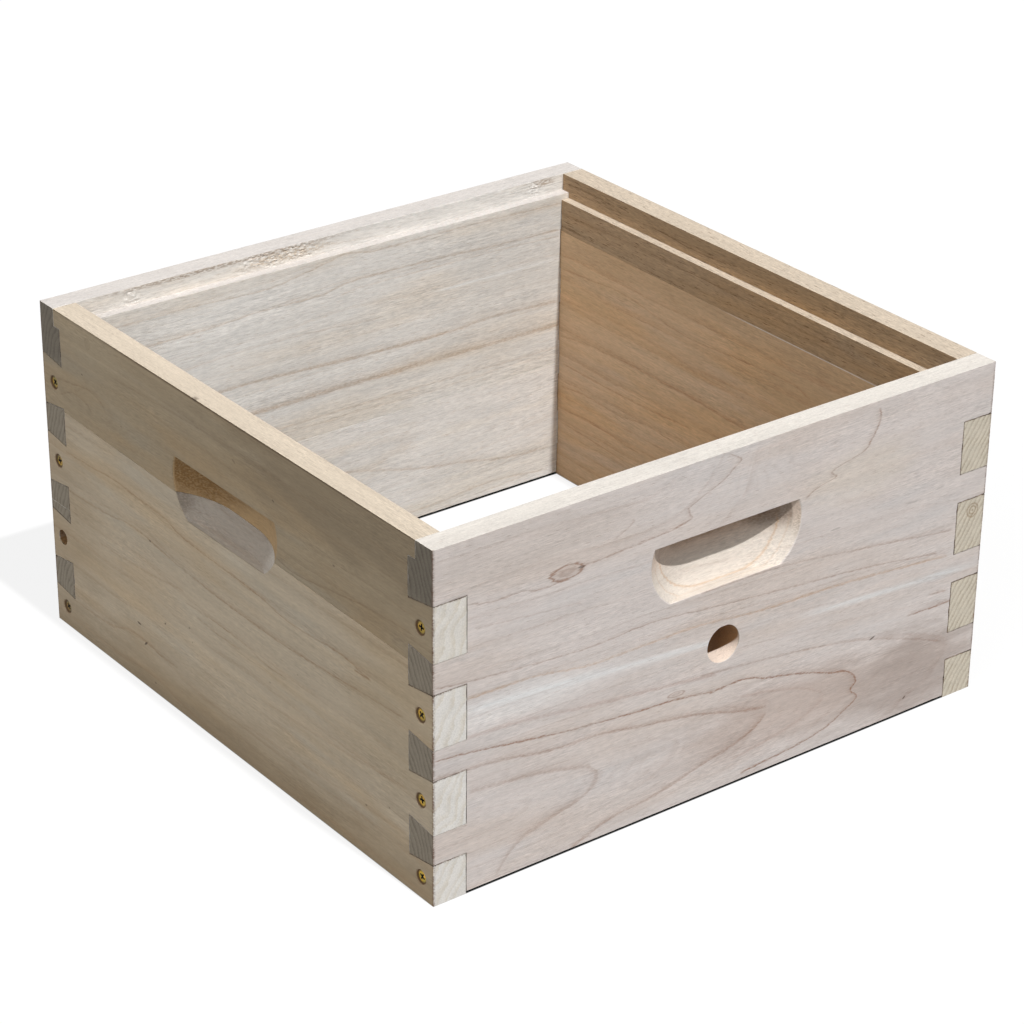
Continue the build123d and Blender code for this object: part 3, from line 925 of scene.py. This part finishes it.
def easeArrises(piece, seed):
    mesh = bmesh.new()
    mesh.from_mesh(piece.data)
    sharp = math.radians(easing["corner"])

    def isArris(edge):
        return edge.is_manifold and edge.is_convex and edge.calc_face_angle(0) > sharp

    for edge in [e for e in mesh.edges if isArris(e)]:
        step = chips["step"] if isJoint(edge) else easing["step"]
        if edge.calc_length() > 2 * step:
            bmesh.ops.subdivide_edges(mesh, edges=[edge], cuts=int(edge.calc_length() / step))
    weight = mesh.edges.layers.float.new("bevel_weight_edge")
    for edge in [e for e in mesh.edges if isArris(e) and e.calc_length() > easing["shortest"]]:
        middle = (edge.verts[0].co + edge.verts[1].co) / 2
        wander = noise.noise(middle / easing["wander"] + Vector((seed, 0, 0))) * 0.5 + 0.5
        edge[weight] = easing["least"] + (1 - easing["least"]) * wander
        if inCorner(edge):
            edge[weight] = chips["sharp"] + (1 - chips["sharp"]) * wander ** 3
        if isJoint(edge):
            bite = noise.noise(middle / chips["bite"] + Vector((0, seed, 0))) * 0.5 + 0.5
            edge[weight] = chips["least"] + chips["most"] * bite ** 3
    mesh.to_mesh(piece.data)
    mesh.free()
    bevel = piece.modifiers.new("eased", "BEVEL")
    bevel.width = easing["width"]
    bevel.segments = easing["segments"]
    bevel.limit_method = "WEIGHT"
    bevel.use_clamp_overlap = False
    selectOnly(piece)
    bpy.ops.object.modifier_apply(modifier="eased")


def tearGrain(piece):
    # cut the torn stretches of the wall into small cells and lift or sink these as broken fibres
    wallAt = halfWidth - boardThick + tornWall["rest"]
    foot = boxHeight - tornWall["drop"]
    low, high = foot + tornWall["margin"], boxHeight - tornWall["margin"]
    mesh = bmesh.new()
    mesh.from_mesh(piece.data)

    def isWall(face):
        middle = face.calc_center_median()
        return face.normal.y < -0.99 and abs(middle.y - wallAt) < tornWall["near"] and middle.z > foot

    def cut(at, facing):
        faces = [f for f in mesh.faces if isWall(f)]
        edges = list({e for f in faces for e in f.edges})
        bmesh.ops.bisect_plane(mesh, geom=faces + edges, plane_co=at, plane_no=facing)

    cell = tornWall["cell"]
    for middle, reach in tornWall["patches"]:
        for i in range(int(2 * reach / cell) + 1):
            cut((middle - reach + i * cell, 0, 0), (1, 0, 0))
    for i in range(int((high - low) / cell) + 1):
        cut((0, 0, low + i * cell), (0, 0, 1))
    for vert in mesh.verts:
        if not vert.link_faces or not all(isWall(f) for f in vert.link_faces):
            continue
        at = Vector((vert.co.x / tornWall["long"], 0, vert.co.z / tornWall["high"]))
        rags = (noise.noise(at) + 0.5 * noise.noise(at * tornWall["finer"])) * tornWall["rags"]
        rags = max(tornWall["lowest"], min(tornWall["highest"], rags))
        near = sum(max(0.0, 1 - ((vert.co.x - middle) / reach) ** 2) for middle, reach in tornWall["patches"])
        vert.co.y -= near * tornWall["deep"] * rags
    mesh.to_mesh(piece.data)
    mesh.free()


def levelFaces(piece):
    # flat faces keep one normal, only the eased arrises are rounded
    level = piece.modifiers.new("level", "WEIGHTED_NORMAL")
    level.weight = easing["weight"]
    level.keep_sharp = True
    selectOnly(piece)
    bpy.ops.object.shade_smooth_by_angle(angle=math.radians(easing["round"]))
    bpy.ops.object.modifier_apply(modifier="level")


for nodeName in boards:
    plankFrom(nodeName)

# screws: yellow zinc, countersunk, with a cross recess
screw = {
    "head": 4.0 * mm, "lip": 0.35 * mm, "cone": 2.0 * mm, "shank": 2.0 * mm, "neck": 0.92,
    "root": 1.4 * mm, "plain": 12 * mm, "length": 50 * mm, "pitch": 2.2 * mm, "tip": 6 * mm,
    "tipStart": 0.8, "point": 0.15 * mm,
    "thread": ((0.3, "root"), (0.35, "root"), (0.3, "shank"), (0.05, "shank")),  # shares of the pitch
    "sides": 28, "round": 35, "sink": 1.2 * mm, "deep": ("screws_rear_left", 2, 6.5 * mm),
    "crossLength": 5.8 * mm, "crossWidth": 1.7 * mm, "crossDepth": 1.5 * mm, "crossFoot": 0.6,
    "crossTurn": 20,
    "heights": (178.65 * mm, 122.35 * mm, 66.05 * mm, 13.95 * mm), "inset": 12.4 * mm,
    "turn": 37, "endTurn": 15,  # each head is turned further than the last one
}
zinc = {
    "bright": (246, 192, 18), "green": (190, 174, 34), "dull": (132, 96, 24), "worn": (48, 34, 14),
    "recess": (12, 9, 6), "bloom": (0.42, 0.62), "batch": (0.45, 0.6), "batchShare": 0.7,
    "scuff": (0.55, 0.75), "scuffShare": 0.5, "agedFrom": (250, 330), "edge": (2.7, 3.8), "edgeEnd": (6, 5),
    "metal": 0.6, "rough": 0.34, "roughScuff": 0.3, "bump": 0.2, "bumpDepth": 0.0001,
    "grit": 1800.0, "gritShows": (0.5, 0.8), "gritShare": 0.5, "grimeRough": 0.7,
}


def zincMaterial():
    material, skin, draw = startMaterial("yellowZinc")
    x, y, z = objectPlace(draw)
    bloom = cloud(vector(x / 9, y / 5, z / 5), detail=3)
    batch = cloud(vector(x / 300, y / 300, z / 38 + 3.3), detail=0)
    scuff = cloud(vector(x / 0.6, y / 0.6, z / 0.6), detail=3)
    dull, worn = zinc["dull"], zinc["worn"]
    colour = blend(smooth(bloom, *zinc["bloom"]), zinc["bright"], zinc["green"])
    colour = blend(smooth(batch, *zinc["batch"]) * zinc["batchShare"], colour, dull)
    colour = blend(smooth(scuff, *zinc["scuff"]) * zinc["scuffShare"], colour, dull)
    # painted shade: the rear left corner's heads are darkened
    colour = blend(smooth(y - x, *zinc["agedFrom"]) * (0.45 + bloom * 0.4), colour, worn)
    # painted shade round the edge of each head, where it sits in its countersink
    across = draw.math("ABSOLUTE", y) - (halfWidth - screw["inset"]) / mm
    for height in screw["heights"]:
        away = span(across, z - height / mm)
        edge = smooth(away, *zinc["edge"]) * smooth(away, *zinc["edgeEnd"])
        colour = blend(edge * (scuff * 0.5 + 0.45), colour, worn)
    feed(skin, "Base Color", colour)
    feed(skin, "Roughness", zinc["rough"] + (scuff - 0.5) * zinc["roughScuff"])
    feed(skin, "Metallic", zinc["metal"])
    bump = {"Strength": zinc["bump"], "Distance": zinc["bumpDepth"], "Height": scuff}
    feed(skin, "Normal", draw.node("ShaderNodeBump", inputs=bump))
    return material


def crossShadeMaterial():
    # painted shade in the cross recess, flecked with dull zinc
    material, skin, draw = startMaterial("screwRecess")
    grit = cloud(draw.node("ShaderNodeTexCoord", output="Object"), scale=zinc["grit"])
    grit = smooth(grit, *zinc["gritShows"]) * zinc["gritShare"]
    feed(skin, "Base Color", blend(grit, zinc["recess"], zinc["dull"]))
    feed(skin, "Roughness", zinc["grimeRough"])
    return material


def extrudeRing(along, radius, last):
    # pull the selected end face further along the screw and size it
    bpy.ops.mesh.extrude_region_move(TRANSFORM_OT_translate={"value": (along, 0, 0)})
    scale = radius / last
    bpy.ops.transform.resize(value=(1, scale, scale))
    return radius


def modelScrew(plating, grime):
    # lies along +x with the head's face at the origin
    bpy.ops.object.select_all(action="DESELECT")
    bpy.ops.mesh.primitive_circle_add(
        vertices=screw["sides"], radius=screw["head"], fill_type="NGON", location=(0, 0, 0),
        rotation=(0, math.radians(90), 0),
    )
    made = bpy.context.object
    bpy.ops.object.transform_apply(location=True, rotation=True, scale=True)
    bpy.ops.object.mode_set(mode="EDIT")
    bpy.ops.mesh.select_all(action="SELECT")
    radius = extrudeRing(screw["lip"], screw["head"], screw["head"])
    radius = extrudeRing(screw["cone"], screw["shank"], radius)
    radius = extrudeRing(screw["plain"], screw["shank"] * screw["neck"], radius)
    done = screw["lip"] + screw["cone"] + screw["plain"]
    while done < screw["length"] - screw["tip"]:
        for share, ring in screw["thread"]:
            radius = extrudeRing(screw["pitch"] * share, screw[ring], radius)
        done += screw["pitch"]
    halfTip = screw["tip"] * 0.5
    radius = extrudeRing(screw["length"] - halfTip - done, screw["root"] * screw["tipStart"], radius)
    extrudeRing(halfTip, screw["point"], radius)
    bpy.ops.mesh.select_all(action="SELECT")
    bpy.ops.mesh.normals_make_consistent(inside=False)
    bpy.ops.object.mode_set(mode="OBJECT")
    made.data.materials.append(plating)
    for turn in (0, 90):
        cutter = crossCutter(turn, grime)
        cross = made.modifiers.new("cross", "BOOLEAN")
        cross.operation = "DIFFERENCE"
        cross.object = cutter
        cross.solver = "EXACT"
        cross.material_mode = "TRANSFER"
        selectOnly(made)
        bpy.ops.object.modifier_apply(modifier="cross")
        bpy.data.objects.remove(cutter)
    selectOnly(made)
    bpy.ops.object.shade_smooth_by_angle(angle=math.radians(screw["round"]))
    return made


def crossCutter(turn, grime):
    bpy.ops.object.select_all(action="DESELECT")
    bpy.ops.mesh.primitive_cube_add(size=1, location=(0, 0, 0))
    cutter = bpy.context.object
    cutter.scale = (screw["crossDepth"] * 2, screw["crossLength"], screw["crossWidth"])
    cutter.rotation_euler = (math.radians(turn + screw["crossTurn"]), 0, 0)
    bpy.ops.object.transform_apply(location=True, rotation=True, scale=True)
    # the wings narrow towards their foot
    for vert in cutter.data.vertices:
        if vert.co.x > 0:
            vert.co.y *= screw["crossFoot"]
            vert.co.z *= screw["crossFoot"]
    cutter.data.materials.append(grime)
    return cutter


def screwsFrom(nodeName, pattern):
    low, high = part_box(nodeName)
    side = -1 if low.x + high.x < 0 else 1
    end = -1 if low.y + high.y < 0 else 1
    copies = []
    for i, height in enumerate(screw["heights"]):
        sink = screw["deep"][2] if (nodeName, i) == screw["deep"][:2] else screw["sink"]
        one = bpy.data.objects.new("screw", pattern.data.copy())
        bpy.context.scene.collection.objects.link(one)
        turn = Matrix.Rotation(math.radians(i * screw["turn"] + end * screw["endTurn"]), 4, "X")
        face = Matrix.Rotation(math.radians(180), 4, "Z") if side > 0 else Matrix.Identity(4)
        place = Vector((side * (halfWidth - sink), end * (halfWidth - screw["inset"]), height))
        one.data.transform(Matrix.Translation(place) @ face @ turn)
        copies.append(one)
    selectOnly(*copies)
    bpy.ops.object.join()
    piece = bpy.context.object
    piece.name = pieceName(nodeName)
    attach(piece, "root")
    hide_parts(nodeName)
    print("screws", piece.name, len(piece.data.polygons), "faces")


pattern = modelScrew(zincMaterial(), crossShadeMaterial())
for nodeName in [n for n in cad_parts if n.startswith("screws_")]:
    screwsFrom(nodeName, pattern)
bpy.data.objects.remove(pattern)

# stage: floor, daylight and the camera at the photograph's angle
stage = {
    "floor": 12.0, "rough": 0.9, "seen": 0.9, "bounced": 0.2, "shadowLift": 0.84,
    "gapShade": 0.95, "gapOuter": (0.5, -0.5), "gapInner": (-24.5, -23),
}
light = {
    "toSun": (0.024, -0.48, 0.877), "sun": 3.1, "softness": 1.4,
    "toFill": (-0.8, -0.2, 0.56), "fill": 0.95, "fillSoftness": 45.0,
    "skyAtHorizon": 0.4, "skyFall": 0.28,
}
camera = {
    "azimuth": -37.44, "elevation": 26.87, "roll": 0.61,
    "distance": 2.093, "target": (0.0278, 0.0314, 0.0825), "lens": 110.99, "sensor": 36, "farthest": 100,
}


def seenDirectly(draw):
    seen, glossy, through = draw.node(
        "ShaderNodeLightPath", output=("Is Camera Ray", "Is Glossy Ray", "Is Transmission Ray")
    )
    return seen.math("MINIMUM", seen + glossy + through, 1.0)


def makeFloor():
    bpy.ops.object.select_all(action="DESELECT")
    bpy.ops.mesh.primitive_plane_add(size=stage["floor"], location=(0, 0, 0))
    floor = bpy.context.object
    floor.name = "floor"
    material, skin, draw = startMaterial("paleFloor")
    feed(skin, "Roughness", stage["rough"])
    feed(skin, "Specular IOR Level", 0.0)
    direct = seenDirectly(draw)
    # the shadow is lifted all over, but not right under the boards, where the floor stays dark
    # and its colour is darkened as a painted shadow
    x, y, z = objectPlace(draw)
    out = draw.math("MAXIMUM", draw.math("ABSOLUTE", x), draw.math("ABSOLUTE", y)) - halfMm
    under = smooth(out, *stage["gapOuter"]) * smooth(out, *stage["gapInner"])
    shade = direct * (stage["seen"] - stage["bounced"]) + stage["bounced"]
    feed(skin, "Base Color", shade * (1 - under * stage["gapShade"]))
    lift = direct * (1 - under) * stage["shadowLift"]
    glow = draw.node("ShaderNodeEmission", inputs={"Color": (1, 1, 1, 1), "Strength": 1.0})
    plain = Shade(draw.tree, skin.outputs[0])
    mixed = draw.node("ShaderNodeMixShader", inputs={0: lift, 1: plain, 2: glow})
    feed(draw.tree.nodes["Material Output"], "Surface", mixed)
    floor.data.materials.append(material)


def makeSun(name, towards, energy, softness):
    lamp = bpy.data.lights.new(name, "SUN")
    lamp.energy = energy
    lamp.angle = math.radians(softness)
    holder = bpy.data.objects.new(name, lamp)
    holder.rotation_euler = Vector(towards).to_track_quat("Z", "Y").to_euler()
    bpy.context.scene.collection.objects.link(holder)


def makeDaylight():
    makeSun("sun", light["toSun"], light["sun"], light["softness"])
    makeSun("fill", light["toFill"], light["fill"], light["fillSoftness"])
    world = bpy.data.worlds.new("softSky")
    bpy.context.scene.world = world
    world.use_nodes = True
    draw = Shade(world.node_tree)
    # paler at the horizon than overhead, plain white to the camera
    towards = draw.node("ShaderNodeTexCoord", output="Generated")
    up = draw.node("ShaderNodeSeparateXYZ", inputs={0: towards}, output=2)
    sky = light["skyAtHorizon"] - above(up) * light["skyFall"]
    direct = seenDirectly(draw)
    background = world.node_tree.nodes["Background"]
    feed(background, "Strength", direct + (1 - direct) * sky)
    feed(background, "Color", (1, 1, 1, 1))


def makeCamera():
    azimuth, elevation, roll = (math.radians(camera[name]) for name in ("azimuth", "elevation", "roll"))
    back = Vector((
        math.sin(azimuth) * math.cos(elevation), -math.cos(azimuth) * math.cos(elevation), math.sin(elevation)
    ))
    level = Vector((math.cos(azimuth), math.sin(azimuth), 0))
    right = level * math.cos(roll) + back.cross(level) * math.sin(roll)
    turn = Matrix((right, back.cross(right), back)).transposed()
    data = bpy.data.cameras.new("camera")
    data.lens = camera["lens"]
    data.sensor_width = camera["sensor"]
    data.clip_end = camera["farthest"]
    view = bpy.data.objects.new("camera", data)
    place = Vector(camera["target"]) + back * camera["distance"]
    view.matrix_world = Matrix.Translation(place) @ turn.to_4x4()
    bpy.context.scene.collection.objects.link(view)
    bpy.context.scene.camera = view


makeFloor()
makeDaylight()
makeCamera()
bpy.context.scene.view_settings.view_transform = "Standard"
print("stage, light and camera set")
